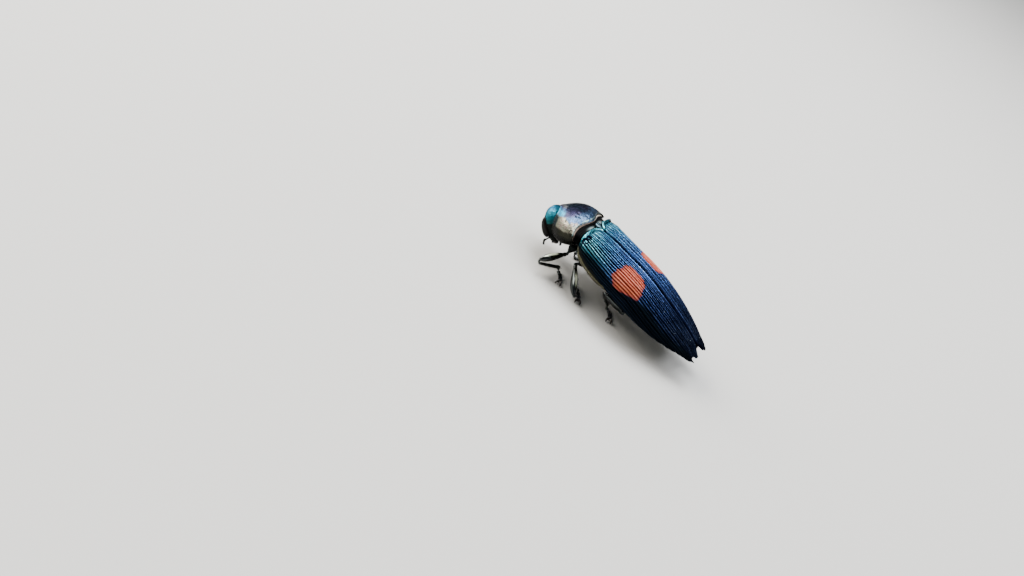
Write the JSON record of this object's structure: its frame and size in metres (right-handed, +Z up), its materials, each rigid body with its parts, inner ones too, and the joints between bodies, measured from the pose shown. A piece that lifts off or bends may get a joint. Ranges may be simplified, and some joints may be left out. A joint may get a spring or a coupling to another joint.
{
  "type": "jewel beetle",
  "caption": "Life-size jewel beetle standing on bent legs, with ribbed wing cases ending in paired spines, a domed prothorax and a head turned down.",
  "frame": {"origin": "on the floor, under the middle of the beetle's length and width", "axes": "+Y towards the tips of the wing cases, -Y the way the beetle faces, +X to the beetle's left, +Z up"},
  "size_m": [0.0149, 0.035, 0.0107],
  "materials": {
    "shell_blue": "satin",
    "prothorax_blue": "gloss",
    "underside_bronze": "satin",
    "leg_green": "satin",
    "eye_brown": "gloss",
    "claw_horn": "satin",
    "joint_skin": "matte",
    "pale_hair": "matte"
  },
  "bodies": {
    "root": {"abdomen_1": "underside_bronze", "abdomen_2": "underside_bronze", "abdomen_3": "underside_bronze", "abdomen_4": "underside_bronze", "abdomen_5": "underside_bronze", "antenna_left": "leg_green", "antenna_right": "leg_green", "claws_front_left": "claw_horn", "claws_front_right": "claw_horn", "claws_middle_left": "claw_horn", "claws_middle_right": "claw_horn", "claws_hind_left": "claw_horn", "claws_hind_right": "claw_horn", "coxa_front_left": "underside_bronze", "coxa_front_right": "underside_bronze", "coxa_middle_left": "underside_bronze", "coxa_middle_right": "underside_bronze", "coxa_hind_left": "underside_bronze", "coxa_hind_right": "underside_bronze", "elytron_left": "shell_blue", "elytron_right": "shell_blue", "eye_left": "eye_brown", "eye_right": "eye_brown", "femur_front_left": "leg_green", "femur_front_right": "leg_green", "femur_middle_left": "leg_green", "femur_middle_right": "leg_green", "femur_hind_left": "leg_green", "femur_hind_right": "leg_green", "head": "prothorax_blue", "labrum": "leg_green", "mandible_left": "claw_horn", "mandible_right": "claw_horn", "mesothorax": "underside_bronze", "metathorax": "underside_bronze", "palp_left": "leg_green", "palp_right": "leg_green", "prothorax": "prothorax_blue", "scutellum": "shell_blue", "tarsus_front_left": "leg_green", "tarsus_front_right": "leg_green", "tarsus_middle_left": "leg_green", "tarsus_middle_right": "leg_green", "tarsus_hind_left": "leg_green", "tarsus_hind_right": "leg_green", "tibia_front_left": "leg_green", "tibia_front_right": "leg_green", "tibia_middle_left": "leg_green", "tibia_middle_right": "leg_green", "tibia_hind_left": "leg_green", "tibia_hind_right": "leg_green"}
  },
  "joints": []
}
